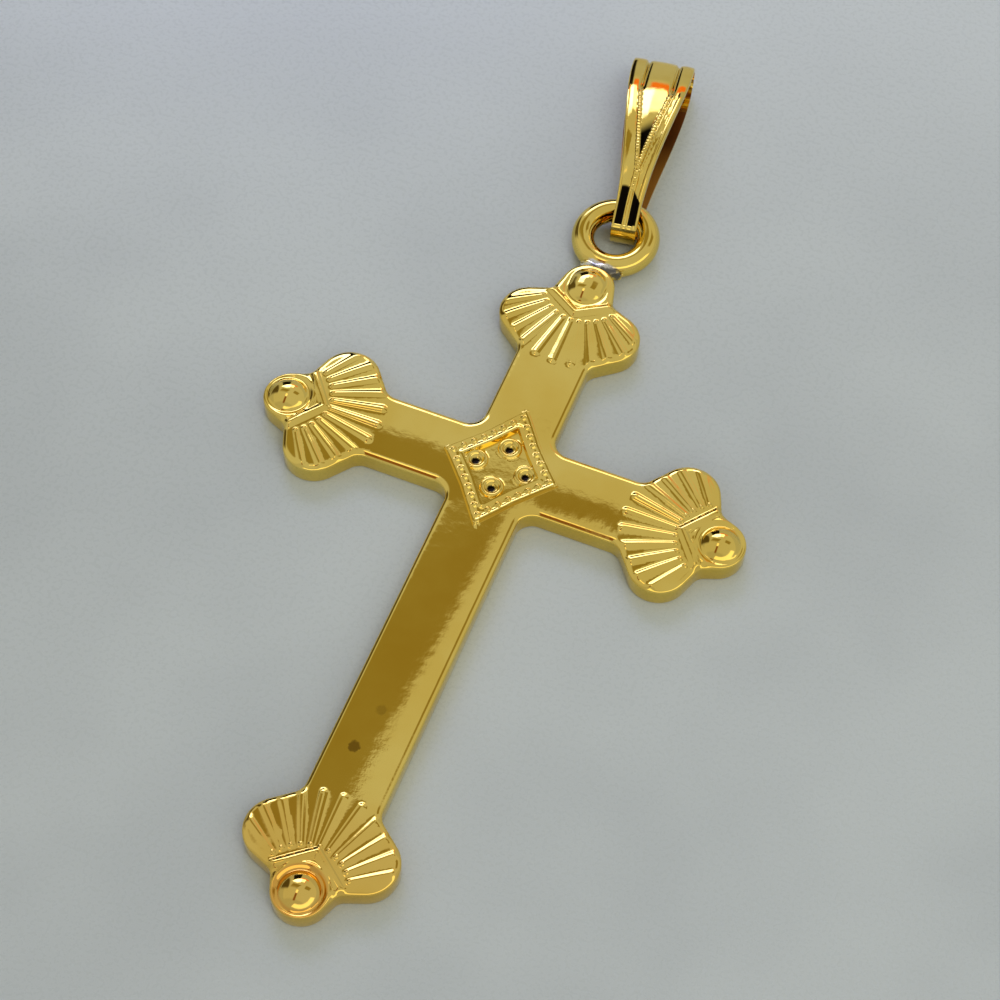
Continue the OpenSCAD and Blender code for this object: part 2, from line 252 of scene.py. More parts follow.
def to_rod(x, y, start, end):
    """Distance to the line from start to end, and the share of the way along it."""
    way = end - start
    share = np.clip(((x - start[0]) * way[0] + (y - start[1]) * way[1]) / (way @ way), 0, 1)
    return np.hypot(x - start[0] - share * way[0], y - start[1] - share * way[1]), share


def to_polygon(x, y, corners):
    """Distance to a polygon's edge, negative inside."""
    nearest = np.full(x.shape, np.inf)
    inside = np.zeros(x.shape, bool)
    for start, end in zip(corners, corners[1:] + corners[:1]):
        nearest = np.minimum(nearest, to_rod(x, y, start, end)[0])
        rise = end[1] - start[1]
        if rise:
            level = (start[1] > y) != (end[1] > y)
            inside ^= level & (x < start[0] + (y - start[1]) * (end[0] - start[0]) / rise)
    return np.where(inside, -nearest, nearest)


def round_join(a, b, radius):
    """Distance to two shapes joined with a fillet."""
    return np.maximum(radius, np.minimum(a, b)) - np.hypot(
        np.maximum(radius - a, 0), np.maximum(radius - b, 0))


def tangent_point(point, centre, radius, side):
    """Where the tangent from a point meets a circle, on the side 1 or -1."""
    away = point - centre
    return centre + radius * unit(angle_of(away) + side * math.acos(radius / np.hypot(*away)))


def run_on(start, end):
    """Where the line from start through end meets the middle of the arm, x = 0."""
    way = end - start
    return end - way * end[0] / way[0]


def arc(centre, radius, start, end, steps):
    """Points on a circle from start counterclockwise to end, both ends included."""
    first = angle_of(start - centre)
    turn = (angle_of(end - centre) - first) % (2 * math.pi)
    return [centre + radius * unit(first + turn * i / steps) for i in range(steps + 1)]


def rod_points(start, end, r_start, r_end, spacing):
    """Points round a rod, at a distance from it that goes from r_start to r_end."""
    way = end - start
    length = math.hypot(*way)
    ahead = way / length
    aside = np.array([ahead[1], -ahead[0]])
    share = np.linspace(0, 1, max(1, round(length / spacing)) + 1)[:, None]
    reach = r_start + (r_end - r_start) * share
    found = [start + way * share + aside * reach, start + way * share - aside * reach]
    for centre, r, forward in ((start, r_start, -1), (end, r_end, 1)):
        turn = np.linspace(0, math.pi, max(3, round(math.pi * r / spacing)) + 1)[:, None]
        found.append(centre + r * (ahead * forward * np.sin(turn) + aside * np.cos(turn)))
    return np.vstack(found)


def circle_points(centre, r, spacing):
    """Points round a circle, at least six."""
    turn = np.linspace(0, 2 * math.pi, max(6, round(2 * math.pi * r / spacing)), endpoint=False)
    return centre + r * np.column_stack([np.cos(turn), np.sin(turn)])


def hex_points(low, high, spacing):
    """Centres of a honeycomb that fills a box."""
    rows = np.arange(low[1], high[1], spacing * math.sqrt(0.75))
    across = np.arange(low[0], high[0], spacing)
    grid_x, grid_y = np.meshgrid(across, rows)
    grid_x = grid_x + (np.arange(len(rows)) % 2)[:, None] * spacing / 2
    return np.column_stack([grid_x.ravel(), grid_y.ravel()])


def spread(layers):
    """The points of all layers in their order, without those nearer to an earlier one than their
    layer's gap."""
    cell = max(gap for _, gap in layers)
    taken, kept = {}, []
    for points, gap in layers:
        for x, y in points.tolist():
            i, j = math.floor(x / cell), math.floor(y / cell)
            near = [p for k in (i - 1, i, i + 1) for m in (j - 1, j, j + 1)
                    for p in taken.get((k, m), ())]
            if all((x - a) ** 2 + (y - b) ** 2 >= gap**2 for a, b in near):
                taken.setdefault((i, j), []).append((x, y))
                kept.append((x, y))
    return np.array(kept)


# Trefoil ends of the cross

def fan_of_rays():
    """The start and the end of each ray, from the dome of its end."""
    rays = []
    for a in np.linspace(-RAY_SPREAD, RAY_SPREAD, RAYS):
        way = np.array([math.sin(a), -math.cos(a)])
        far = RAY_ARC_BACK * math.cos(a) + math.sqrt(
            RAY_ARC_R**2 - (RAY_ARC_BACK * math.sin(a)) ** 2)
        rays.append((way * RAY_START, way * far))
    return rays


class TrefoilEnd:
    """One end of the cross. Its own place is (u, v): from its dome, the arm coming from below."""

    def __init__(self, turn_deg, reach, extra, apex, pocket_d, rim_h):
        self.cos = round(math.cos(math.radians(turn_deg)))
        self.sin = round(math.sin(math.radians(turn_deg)))
        self.reach = reach
        self.apex = np.array([0, -apex])
        self.pocket_d = pocket_d
        self.rim_h = rim_h
        self.dome_end = np.array([0, max(extra * DOME_DRAWN_OUT, DOME_LEAST)])
        self.rays = fan_of_rays()
        self.tip = np.array([0, extra - END_BACK])
        self.lobe_low = tangent_point(ARM_NOTCH, LOBE, LOBE_R, 1)
        self.lobe_high = tangent_point(NECK_NOTCH, LOBE, LOBE_R, -1)
        self.tip_low = tangent_point(NECK_NOTCH, self.tip, END_R, 1)
        below = run_on(self.lobe_low, ARM_NOTCH)
        above = run_on(self.lobe_high, NECK_NOTCH)
        self.lobes_core = [below, self.lobe_low, self.lobe_high, above,
                           self.lobe_high * MIRROR, self.lobe_low * MIRROR]
        behind = NECK_NOTCH + (NECK_NOTCH - self.tip_low)
        self.tip_core = [LOBE * [0, 1], behind, self.tip_low, self.tip,
                         self.tip_low * MIRROR, behind * MIRROR]

    def own(self, x, y):
        """A place of the cross as (u, v)."""
        return x * self.cos + y * self.sin, y * self.cos - x * self.sin - self.reach

    def placed(self, u, v):
        """The place on the cross of (u, v)."""
        v = v + self.reach
        return u * self.cos - v * self.sin, u * self.sin + v * self.cos

    def distance(self, x, y):
        """Distance to the end's outline, negative inside."""
        u, v = self.own(x, y)
        u = np.abs(u)
        lobes = np.minimum(to_polygon(u, v, self.lobes_core), to_circle(u, v, LOBE, LOBE_R))
        tip = np.minimum(to_polygon(u, v, self.tip_core), to_circle(u, v, self.tip, END_R))
        return round_join(lobes, tip, NECK_FILLET)

    def outline(self):
        """Points round the end from its right side to its left, then the corner to the next arm."""
        arc_steps = 24
        right = [np.array([ARM_HALF, CROSS_FILLET + ARM_HALF - self.reach]), ARM_NOTCH]
        right += arc(LOBE, LOBE_R, self.lobe_low, self.lobe_high, arc_steps)
        right += [NECK_NOTCH]
        tip = arc(self.tip, END_R, self.tip_low, self.tip_low * MIRROR, arc_steps)
        corner_off = CROSS_FILLET * (1 - math.sqrt(0.5))
        corner = np.array([-ARM_HALF - corner_off, ARM_HALF + corner_off - self.reach])
        own = np.array(right + tip + [p * MIRROR for p in reversed(right)] + [corner])
        return np.column_stack(self.placed(own[:, 0], own[:, 1]))

    def relief(self, x, y):
        """Height of the rays and the chevron over the face, of the dome over the plate, and of the
        pocket and the rim round it over the face, then the distance from the dome's middle."""
        u, v = self.own(x, y)
        ribs = np.full(x.shape, RIB_NONE)
        for start, end in self.rays:
            off, share = to_rod(u, v, start, end)
            r = RAY_R_IN + (RAY_R_OUT - RAY_R_IN) * share
            ribs = np.maximum(ribs, hump(off, r, RAY_RISE * r))
            for centre, r, rise in ((start, RAY_BEAD_R_IN, RAY_BEAD_RISE_IN),
                                    (end, RAY_BEAD_R_OUT, RAY_BEAD_RISE_OUT)):
                off = np.hypot(u - centre[0], v - centre[1])
                ribs = np.maximum(ribs, hump(off, r, rise * r))
        off, _ = to_rod(np.abs(u), v, self.apex, CHEVRON_END)
        ribs = np.maximum(ribs, hump(off, CHEVRON_R, CHEVRON_H))
        ribs = np.where(ribs > 0, ribs * smooth_step(-self.distance(x, y), *RIB_FADE), ribs)
        off, _ = to_rod(u, v, np.zeros(2), self.dome_end)
        dome = np.sqrt(np.maximum(DOME_BALL_R**2 - off**2, 0)) + DOME_H - DOME_BALL_R
        pocket = -self.pocket_d * (1 - smooth_step(off, *POCKET_SLOPE))
        rim = self.rim_h * np.exp(-((off - RIM_R) / RIM_HALF) ** 2)
        return ribs, dome, pocket + rim, off

    def relief_points(self):
        """Points along the lines of the relief, in the end's own place."""
        found = []
        for share in RIB_ROWS:
            for start, end in self.rays:
                found.append(rod_points(start, end, RAY_R_IN * share, RAY_R_OUT * share, RIB_GAP))
                found.append(circle_points(start, RAY_BEAD_R_IN * share, BEAD_GAP))
                found.append(circle_points(end, RAY_BEAD_R_OUT * share, OUTER_BEAD_GAP))
            r = CHEVRON_R * share
            found.append(rod_points(self.apex, CHEVRON_END, r, r, RIB_GAP))
            found.append(rod_points(self.apex, CHEVRON_END * MIRROR, r, r, RIB_GAP))
        for r in DOME_ROWS:
            found.append(rod_points(np.zeros(2), self.dome_end, r, r, ROUND_GAP))
        return np.vstack(found)


TOP = TrefoilEnd(0, TOP_REACH, extra=TOP_EXTRA, apex=1.75, pocket_d=0.03, rim_h=0)
LEFT, RIGHT = [TrefoilEnd(turn_deg, SIDE_REACH, extra=0, apex=2.05, pocket_d=0.07, rim_h=0.04)
               for turn_deg in (90, -90)]
FOOT = TrefoilEnd(180, FOOT_REACH, extra=0, apex=2.05, pocket_d=0.11, rim_h=0.07)
ENDS = [RIGHT, TOP, LEFT, FOOT]
TOP_END_Y = TOP_REACH + TOP.tip[1] + END_R
PLATE_BOX = (-SIDE_REACH, -FOOT_REACH), (SIDE_REACH, TOP_REACH)


def plate_distance(x, y):
    """Distance to the cross's outline, negative inside."""
    hidden = 2  # the arms' own ends lie inside the trefoils
    upright = np.maximum(np.abs(x) - ARM_HALF,
                         np.maximum(y - TOP_REACH, -FOOT_REACH - y) + hidden)
    across = np.maximum(np.abs(y) - ARM_HALF, np.abs(x) - SIDE_REACH + hidden)
    plate = round_join(upright, across, CROSS_FILLET)
    for end in ENDS:
        plate = round_join(plate, end.distance(x, y), ARM_FILLET)
    return plate


# Medallion of the cross

def lozenge_corners(half):
    """Corners of a lozenge with slightly hollow sides, counterclockwise."""
    (x, y), (mid_x, mid_y) = half, half * SIDE_MID
    return [np.array(p) for p in ((x, 0), (mid_x, mid_y), (0, y), (-mid_x, mid_y),
                                  (-x, 0), (-mid_x, -mid_y), (0, -y), (mid_x, -mid_y))]


def lozenge_distance(x, y, half):
    """Distance to a lozenge's edge, negative inside."""
    return to_polygon(x, y, lozenge_corners(half))


def bead_places():
    """Places of the beads of one quarter of the border, which follows its hollow side."""
    places = []
    for share in np.linspace(0, 1, BEADS_A_SIDE):
        pull = 1 - (1 - 2 * SIDE_MID) * (1 - abs(2 * share - 1))
        places.append(BEAD_LINE * [1 - share, share] * pull)
    return places


def medallion_height(x, y):
    """Height of the medallion over the face: border with two ridges, field, beads and cups."""
    side, level = np.abs(x), np.abs(y)
    outer = lozenge_distance(x, y, LOZENGE)
    inner = lozenge_distance(x, y, FIELD)
    ridges = smooth_step(np.maximum(outer, -inner), -RIDGE_FOOT, -RIDGE_TOP)
    border = BORDER_H + (RIDGE_H - BORDER_H) * ridges
    height = border * (1 - smooth_step(outer, -WALL_HALF, WALL_HALF))
    height -= (FIELD_D + border) * (1 - smooth_step(inner, -WALL_HALF, WALL_HALF))
    for bead in bead_places():
        off = np.hypot(side - bead[0], level - bead[1])
        ball = BORDER_H + hump(off, BEAD_R, BEAD_H)
        height = np.where(off < BEAD_R, np.maximum(height, ball), height)
    for cup in CUPS:
        off = np.hypot(side - cup[0], level - cup[1])
        wire = np.sqrt(np.maximum(CUP_WIRE_R**2 - (off - CUP_RING_R) ** 2, 0)) - FIELD_D
        bowl = CUP_BOWL_RISE * (off / CUP_BOWL_R) ** CUP_BOWL_POWER - CUP_BOWL_D - FIELD_D
        cup_height = np.minimum(wire, bowl)
        height = np.where(off < CUP_RING_R + CUP_WIRE_R, np.maximum(height, cup_height), height)
        height = np.where(off < CUP_RING_R, cup_height, height)
    return height


def medallion_points():
    """Points along the walls and ridges of the medallion's border, round its beads and its cups."""
    found = []
    for half, into_border in ((LOZENGE, -1), (FIELD, 1)):
        corners = lozenge_corners(half)
        for start, end in zip(corners, corners[1:] + corners[:1]):
            way = end - start
            length = math.hypot(*way)
            outward = np.array([way[1], -way[0]]) / length
            share = np.linspace(0, 1, round(length / BEAD_GAP) + 1)[:, None]
            found += [start + way * share + outward * off for off in into_border * WALL_ROWS]
    for share in BEAD_ROWS:
        for place in bead_places():
            found += [circle_points(place * [i, j], BEAD_R * share, BEAD_GAP)
                      for i in (1, -1) for j in (1, -1)]
    for r in CUP_ROWS:
        for cup in CUPS:
            found += [circle_points(cup * side, r, ROUND_GAP) for side in (1, -1)]
    return np.vstack(found)


# Mesh of the cross

def face_height(x, y):
    """Height of the cross's face above the table, without the rounding of its edge."""
    inset = -plate_distance(x, y)
    height = PLATE_T + CROWN * (1 - (1 - np.minimum(inset / ARM_HALF, 1)) ** 2)
    height -= SHOULDER_H * np.exp(-inset / SHOULDER_REACH)
    height += medallion_height(x, y)
    for end in ENDS:
        ribs, dome, pocket, off = end.relief(x, y)
        over = height - PLATE_T
        ribbed = PLATE_T + soft_max(over, over + ribs, RIB_FILLET)
        height = np.where(ribs > RIB_FILLET_END, ribbed, height)
        domed = soft_max(height + pocket, PLATE_T + dome, DOME_FILLET)
        height = np.where(off < RIM_END_R, domed, height)
    return height


def cross_outline(spacing):
    """Points on the outline, counterclockwise, and the direction outwards at each."""
    rounds, step = 8, 1e-4
    rough = np.vstack([end.outline() for end in ENDS])
    rough = np.vstack([rough, rough[:1]])
    run = np.concatenate([[0], np.cumsum(np.hypot(*np.diff(rough, axis=0).T))])
    stops = np.linspace(0, run[-1], int(run[-1] / spacing), endpoint=False)
    x, y = np.interp(stops, run, rough[:, 0]), np.interp(stops, run, rough[:, 1])
    for _ in range(rounds):
        away = plate_distance(x, y)
        slope_x = (plate_distance(x + step, y) - plate_distance(x - step, y)) / (2 * step)
        slope_y = (plate_distance(x, y + step) - plate_distance(x, y - step)) / (2 * step)
        steep = slope_x**2 + slope_y**2
        x, y = x - away * slope_x / steep, y - away * slope_y / steep
    length = np.sqrt(steep)
    return np.column_stack([x, y]), np.column_stack([slope_x, slope_y]) / length[:, None]


def face_points():
    """Points inside the edge: along the lines of the relief and of the medallion, then evenly
    between them, wide on the plain arms."""
    between_lines, on_medallion, wide = 0.1, 0.085, 0.17
    relief_reach, relief_half, margin = 5.4, 4.1, 0.15
    traced_gap, traced_inset = 0.022, 0.03
    even_gap, even_inset = 0.06, 0.05
    traced = [medallion_points()]
    traced += [np.column_stack(end.placed(*end.relief_points().T)) for end in ENDS]
    even = []
    for end in ENDS:
        box = (-relief_half, -relief_reach), (relief_half, END_R + TOP_EXTRA + between_lines)
        even.append(np.column_stack(end.placed(*hex_points(*box, between_lines).T)))
    spots = hex_points(-LOZENGE, LOZENGE, on_medallion)
    even.append(spots[lozenge_distance(*spots.T, LOZENGE) < 0])
    x, y = hex_points(*PLATE_BOX, wide).T
    plain = lozenge_distance(x, y, LOZENGE) > margin
    for end in ENDS:
        plain &= end.own(x, y)[1] < -relief_reach - margin / 2
    even.append(np.column_stack([x, y])[plain])
    traced, even = np.vstack(traced), np.vstack(even)
    return spread([(traced[plate_distance(*traced.T) < -EDGE_W - traced_inset], traced_gap),
                   (even[plate_distance(*even.T) < -EDGE_W - even_inset], even_gap)])


def fill(loop, inside, loop_first, new_first):
    """Triangles that fill a closed loop and use the points inside: the points that they add to the
    loop, then their corners. The two kinds of points are numbered from loop_first and new_first."""
    count = len(loop)
    points = [Vector(p) for p in np.vstack([loop, inside])]
    edges = [(i, (i + 1) % count) for i in range(count)]
    made, _, faces, origin, _, _ = delaunay_2d_cdt(points, edges, [], 1, 1e-7)
    number, extra = {}, []
    for i, (place, first) in enumerate(zip(made, origin)):
        if first and first[0] < count:
            number[i] = loop_first + first[0]
        else:
            number[i] = new_first + len(extra)
            extra.append(place)
    return np.array(extra), [[number[i] for i in face] for face in faces]


def bridge(lower, upper, count):
    """Quads between two closed rows of vertices that start at the numbers lower and upper."""
    return [(lower + i, lower + (i + 1) % count, upper + (i + 1) % count, upper + i)
            for i in range(count)]


def in_scene(name, data):
    """New object in the scene for a mesh, a light or a camera."""
    made = bpy.data.objects.new(name, data)
    bpy.context.scene.collection.objects.link(made)
    return made


def new_object(name, verts, faces):
    """Mesh object from places in millimetres."""
    mesh = bpy.data.meshes.new(name)
    mesh.from_pydata((np.asarray(verts) * MM).tolist(), [], faces)
    mesh.validate()
    return in_scene(name, mesh)


def cross_plate():
    """The plate with its relief: rows round the edge, a filled face and a filled back."""
    outline_gap, edge_steps, back_edge_steps = 0.1, 7, 3
    back_rim, back_gap, back_inset = 0.15, 1.0, 0.6
    loop, outward = cross_outline(outline_gap)
    count = len(loop)
    rows = []
    for k in range(edge_steps + 1):
        a = math.pi / 2 * (1 - k / edge_steps)
        share = 1 - math.cos(a)
        x, y = (loop - outward * (EDGE_W * share)).T
        drop = EDGE_H * (1 - math.sin(a))
        relief_left = min(1, share * 3)  # it fades out over the outer third of the edge
        level = PLATE_T + (face_height(x, y) - PLATE_T) * relief_left - drop
        rows.append(np.column_stack([x, y, level]))
    for k in range(back_edge_steps + 1):
        a = math.pi / 2 * k / back_edge_steps
        inset = BACK_EDGE_R * (1 - math.cos(a))
        x, y = (loop - outward * inset).T
        rows.append(np.column_stack([x, y, np.full(count, BACK_EDGE_R * (1 - math.sin(a)))]))
    x, y = (loop - outward * (BACK_EDGE_R + back_rim)).T
    rows.append(np.column_stack([x, y, np.zeros(count)]))
    verts = np.vstack(rows)
    faces = []
    for k in range(len(rows) - 1):
        faces += bridge((k + 1) * count, k * count, count)
    inner, face_triangles = fill(rows[0][:, :2], face_points(), 0, len(verts))
    verts = np.vstack([verts, np.column_stack([inner, face_height(*inner.T)])])
    spaced = hex_points(*PLATE_BOX, back_gap)
    spaced = spaced[plate_distance(*spaced.T) < -back_inset]
    last_row = (len(rows) - 1) * count
    inner, back_triangles = fill(rows[-1][:, :2], spaced, last_row, len(verts))
    verts = np.vstack([verts, np.column_stack([inner, np.zeros(len(inner))])])
    faces += face_triangles + [corners[::-1] for corners in back_triangles]
    return new_object("cast_cross", verts, faces)


def ring_piece():
    """The plain round ring, tilted so that its far side is up."""
    around, across = 144, 64
    verts, faces = [], []
    for i in range(around):
        k = (i + 1) % around
        for j in range(across):
            a, b = 2 * math.pi * i / around, 2 * math.pi * j / across
            out = RING_R + WIRE_R * math.cos(b)
            y, z = out * math.sin(a), WIRE_R * math.sin(b)
            verts.append((RING_X + out * math.cos(a),
                          RING_Y + y * math.cos(RING_TILT) - z * math.sin(RING_TILT),
                          RING_Z + y * math.sin(RING_TILT) + z * math.cos(RING_TILT)))
            m = (j + 1) % across
            faces.append((i * across + j, k * across + j, k * across + m, i * across + m))
    return new_object("ring", verts, faces)


def solder_piece():
    """A lump of solder between the ring and the top lobe, uneven along its length."""
    around, rings = 56, 28
    middle_y = TOP_END_Y + SOLDER_PAST_END
    verts, faces = [], []
    for i in range(1, rings):
        a = math.pi * i / rings
        for j in range(around):
            b = 2 * math.pi * j / around
            lump = 1 + 0.05 * math.sin(3 * b + 4 * a) + 0.04 * math.sin(7 * a - 2 * b)
            x = SOLDER_HALF[0] * math.cos(a) * lump
            y = SOLDER_HALF[1] * math.sin(a) * math.cos(b) * lump
            z = SOLDER_HALF[2] * math.sin(a) * math.sin(b) * lump
            verts.append((RING_X + x, middle_y + y + SOLDER_BOW * x * x, SOLDER_Z + z))
    for x in (SOLDER_HALF[0], -SOLDER_HALF[0]):
        verts.append((RING_X + x, middle_y + SOLDER_BOW * x * x, SOLDER_Z))
    last = (rings - 2) * around
    for i in range(rings - 2):
        faces += bridge(i * around, (i + 1) * around, around)
    near, far = len(verts) - 2, len(verts) - 1
    faces += [(near, (j + 1) % around, j) for j in range(around)]
    faces += [(far, last + j, last + (j + 1) % around) for j in range(around)]
    return new_object("solder", verts, faces)


def join_solid(body, *others):
    """One closed solid from several that overlap."""
    bpy.context.view_layer.objects.active = body
    for other in others:
        cut = body.modifiers.new("join", "BOOLEAN")
        cut.operation = "UNION"
        cut.solver = "MANIFOLD"
        cut.object = other
        bpy.ops.object.modifier_apply(modifier=cut.name)
        mesh = other.data
        bpy.data.objects.remove(other)
        bpy.data.meshes.remove(mesh)


def smooth_but_edges(piece, sharp_deg):
    """Smooth shading, with hard lines only where faces meet more steeply than that."""
    piece.data.shade_smooth()
    piece.data.set_sharp_from_angle(angle=math.radians(sharp_deg))


# Mesh of the bail

def half_width(s):
    """Half of the bail's width."""
    return BAIL_NARROW + (BAIL_WIDE - BAIL_NARROW) * smooth_step(s, *BAIL_TAPER)


def touching_centre(a, reach_a, b, reach_b):
    """The point at these distances from a and from b, below the line from a to b."""
    apart = math.dist(a, b)
    way = (b - a) / apart
    along = (reach_a**2 - reach_b**2 + apart**2) / (2 * apart)
    return a + way * along + np.array([way[1], -way[0]]) * math.sqrt(reach_a**2 - along**2)


def bail_profile():
    """The bail's side: for each step its outer place, the direction outwards, and its inner place.
    It runs round the end to the front, along the front to the lip, round the foot and back along
    z = 0. Also given: the number of steps round the end, and the last one of the front."""
    end, foot = np.array([END_S, END_BALL_R]), np.array([FOOT_S, FOOT_BALL_R])
    middle = touching_centre(foot, FRONT_R - FOOT_BALL_R, end, FRONT_R - END_BALL_R)
    end_a, foot_a = angle_of(end - middle), angle_of(foot - middle)
    lip_a = math.pi - math.acos((middle[0] - LIP_S) / FRONT_R)
    under_lip_a = math.pi - math.acos((FOOT_S - LIP_S) / FOOT_BALL_R)
    bend_steps, front_steps, lip_steps, face_steps, foot_steps, back_steps = 34, 240, 16, 4, 26, 60
    rows = []

    def on_circle(centre, radius, angle):
        way = unit(angle)
        rows.append((centre + way * radius, way, centre + way * (radius - BAIL_T)))

    for share in np.linspace(0, 1, bend_steps, endpoint=False):
        on_circle(end, END_BALL_R, -math.pi / 2 + (end_a + math.pi / 2) * share)
    for share in np.linspace(0, 1, front_steps, endpoint=False):
        on_circle(middle, FRONT_R, end_a + (foot_a - end_a) * share)
    for share in np.linspace(0, 1, lip_steps):
        way = unit(foot_a + (lip_a - foot_a) * share)
        lip_top = middle + way * (FRONT_R + LIP_RISE * share)
        turned = foot_a + (under_lip_a - foot_a) * share * LIP_INNER_TURN
        rows.append((lip_top, way, foot + unit(turned) * (FOOT_BALL_R - BAIL_T)))
    front_end = len(rows) - 1
    under_lip = foot + unit(under_lip_a) * FOOT_BALL_R
    for share in np.linspace(0, 1, face_steps + 1)[1:]:
        inner_a = turned + (under_lip_a - turned) * share
        rows.append((lip_top + (under_lip - lip_top) * share, unit(math.pi),
                     foot + unit(inner_a) * (FOOT_BALL_R - BAIL_T)))
    for share in np.linspace(0, 1, foot_steps + 1)[1:]:
        on_circle(foot, FOOT_BALL_R, under_lip_a + (1.5 * math.pi - under_lip_a) * share)
    for s in np.linspace(FOOT_S, END_S, back_steps + 1)[1:-1]:
        rows.append((np.array([s, 0.0]), unit(-math.pi / 2), np.array([s, BAIL_T])))
    return rows, bend_steps, front_end


def ridge(off, half):
    """1 on the middle of a rounded ridge, 0 from half its width outwards."""
    return np.sqrt(np.maximum(1 - (off / half) ** 2, 0))


def milgrain(off, along, half):
    """Row of small beads along a line, from 0 to 1."""
    bead = np.sqrt(np.maximum(1 - (2 * ((along / GRAIN_PITCH) % 1) - 1) ** 2, 0))
    return ridge(off, half) * (0.5 + 0.5 * bead)


def v_half(s):
    """Half of the V's width."""
    return V_TOP[0] * np.clip((s - V_POINT[1]) / (V_TOP[1] - V_POINT[1]), 0, 1)


def front_lines(s, x):
    """Height of the raised lines: the beaded V with a rail on its right, the beaded spine below it
    with a rail on each side, and the borders along both edges and the lip."""
    in_v = smooth_step(s, *V_START)
    line_off = np.abs(x) - v_half(s)
    v_beads = milgrain(line_off, s, GRAIN_HALF) * GRAIN_H
    rail = ridge(line_off - RAIL_OFF, RAIL_HALF) * RAIL_H * (x > 0)
    v_lines = np.maximum(v_beads, rail) * in_v
    spine_off = np.abs(x - V_POINT[0] * smooth_step(s, FOOT_S, V_POINT[1]))
    spine_beads = milgrain(spine_off, s, SPINE_GRAIN_HALF) * GRAIN_H
    spine_rails = ridge(spine_off - SPINE_RAIL_OFF, SPINE_RAIL_HALF) * RAIL_H
    spine = np.maximum(spine_beads * smooth_step(s, *SPINE_GRAIN_START), spine_rails) * (1 - in_v)
    border_half = np.where(x > 0, RIGHT_BORDER_HALF, LEFT_BORDER_HALF)
    border_h = np.where(x > 0, RIGHT_BORDER_H, LEFT_BORDER_H)
    border = ridge(half_width(s) - np.abs(x) - border_half, border_half) * border_h
    lip_border = ridge(s - LIP_S - LIP_BORDER_OFF, LIP_BORDER_HALF) * LEFT_BORDER_H
    return np.maximum(np.maximum(v_lines, spine), np.maximum(border, lip_border))


def front_panels(s, x):
    """Depth of the edges of the rounded panels, one in the V and one on each side of it."""
    side, middle_half = np.abs(x), v_half(s)
    side_half = np.maximum((half_width(s) - middle_half) / 2, SIDE_PANEL_LEAST_HALF)
    crown = np.where(side < middle_half, 1 - (x / np.maximum(middle_half, PANEL_LEAST_HALF)) ** 2,
                     1 - ((side - middle_half - side_half) / side_half) ** 2)
    above = smooth_step(s, *PANEL_START)
    return PANEL_D * (1 - np.clip(crown, 0, 1)) * above + FOOT_PANEL_D * (1 - above)


def front_relief(s, x, bend):
    """Height of the bail's front over its plain surface. bend goes from 0 on the long front to 1
    at the back of the round end, where the relief has faded. Past the V's top, its lines give way
    to grooves."""
    past_v = smooth_step(s, *V_END)
    lines = front_lines(s, x) * (1 - past_v)
    groove = GROOVE_D * np.exp(-((np.abs(x) - v_half(s)) / GROOVE_HALF) ** 2) * past_v
    fade_back = 1 - smooth_step(bend, *BEND_FADE)
    return lines * (bend <= 0) - (front_panels(s, x) + groove) * fade_back


def bail_piece():
    """The folded band. Each step of its side gives one closed row of points, over the outer
    surface and back along the inner one."""
    rows, bend_steps, front_end = bail_profile()
    across, inner_across = 72, 10
    row_length = across + inner_across + 2
    verts, faces = [], []

    def put(x, s, z):
        verts.append((BAIL_X + x * BAIL_COS - s * BAIL_SIN,
                      HINGE.y + x * BAIL_SIN + s * BAIL_COS, z))

    for i, (outer, way, inner) in enumerate(rows):
        wide = half_width(outer[0])
        x = np.linspace(-1, 1, across + 1) * wide
        if i < bend_steps:
            height = front_relief(END_S, x, 1 - i / bend_steps)
        elif i <= front_end:
            height = front_relief(outer[0], x, 0)
        else:
            height = np.zeros(x.shape)
        edge = np.clip(1 - (wide - np.abs(x)) / BAIL_EDGE_R, 0, 1)
        height = height - BAIL_EDGE_R * (1 - np.sqrt(1 - edge**2))
        for across_x, h in zip(x, height):
            place = outer + way * h
            put(across_x, place[0], max(place[1], 0.0))
        for across_x in np.linspace(wide, -wide, inner_across + 1):
            put(across_x, *inner)
        faces += bridge(i * row_length, (i + 1) % len(rows) * row_length, row_length)
    return new_object("folded_bail", verts, faces)


# Shader maths

MIX_FACTOR, MIX_LOW, MIX_HIGH, MIX_COLOUR = 0, 6, 7, 2  # the colour sockets of the Mix node


class Value:
    """One socket of a shader. Python's operators on it add the nodes that work them out."""

    def __init__(self, shader, socket):
        self.shader, self.socket = shader, socket

    def __add__(self, other):
        return self.shader.math("ADD", self, other)

    def __sub__(self, other):
        return self.shader.math("SUBTRACT", self, other)

    def __rsub__(self, other):
        return self.shader.math("SUBTRACT", other, self)

    def __mul__(self, other):
        return self.shader.math("MULTIPLY", self, other)

    def __truediv__(self, other):
        return self.shader.math("DIVIDE", self, other)

    def __pow__(self, other):
        return self.shader.math("POWER", self, other)

    __radd__ = __add__
    __rmul__ = __mul__

    def absolute(self):
        return self.shader.math("ABSOLUTE", self)

    def smooth(self, low, high):
        """0 below low, 1 above high, an even curve between."""
        return self.shader.node("ShaderNodeMapRange", {"interpolation_type": "SMOOTHSTEP"},
                                {"Value": self, "From Min": low, "From Max": high})

    def blend(self, low, high):
        """The colour between low and high that lies at this share of the way."""
        return self.shader.node("ShaderNodeMix", {"data_type": "RGBA"},
                                {MIX_FACTOR: self, MIX_LOW: low, MIX_HIGH: high}, MIX_COLOUR)


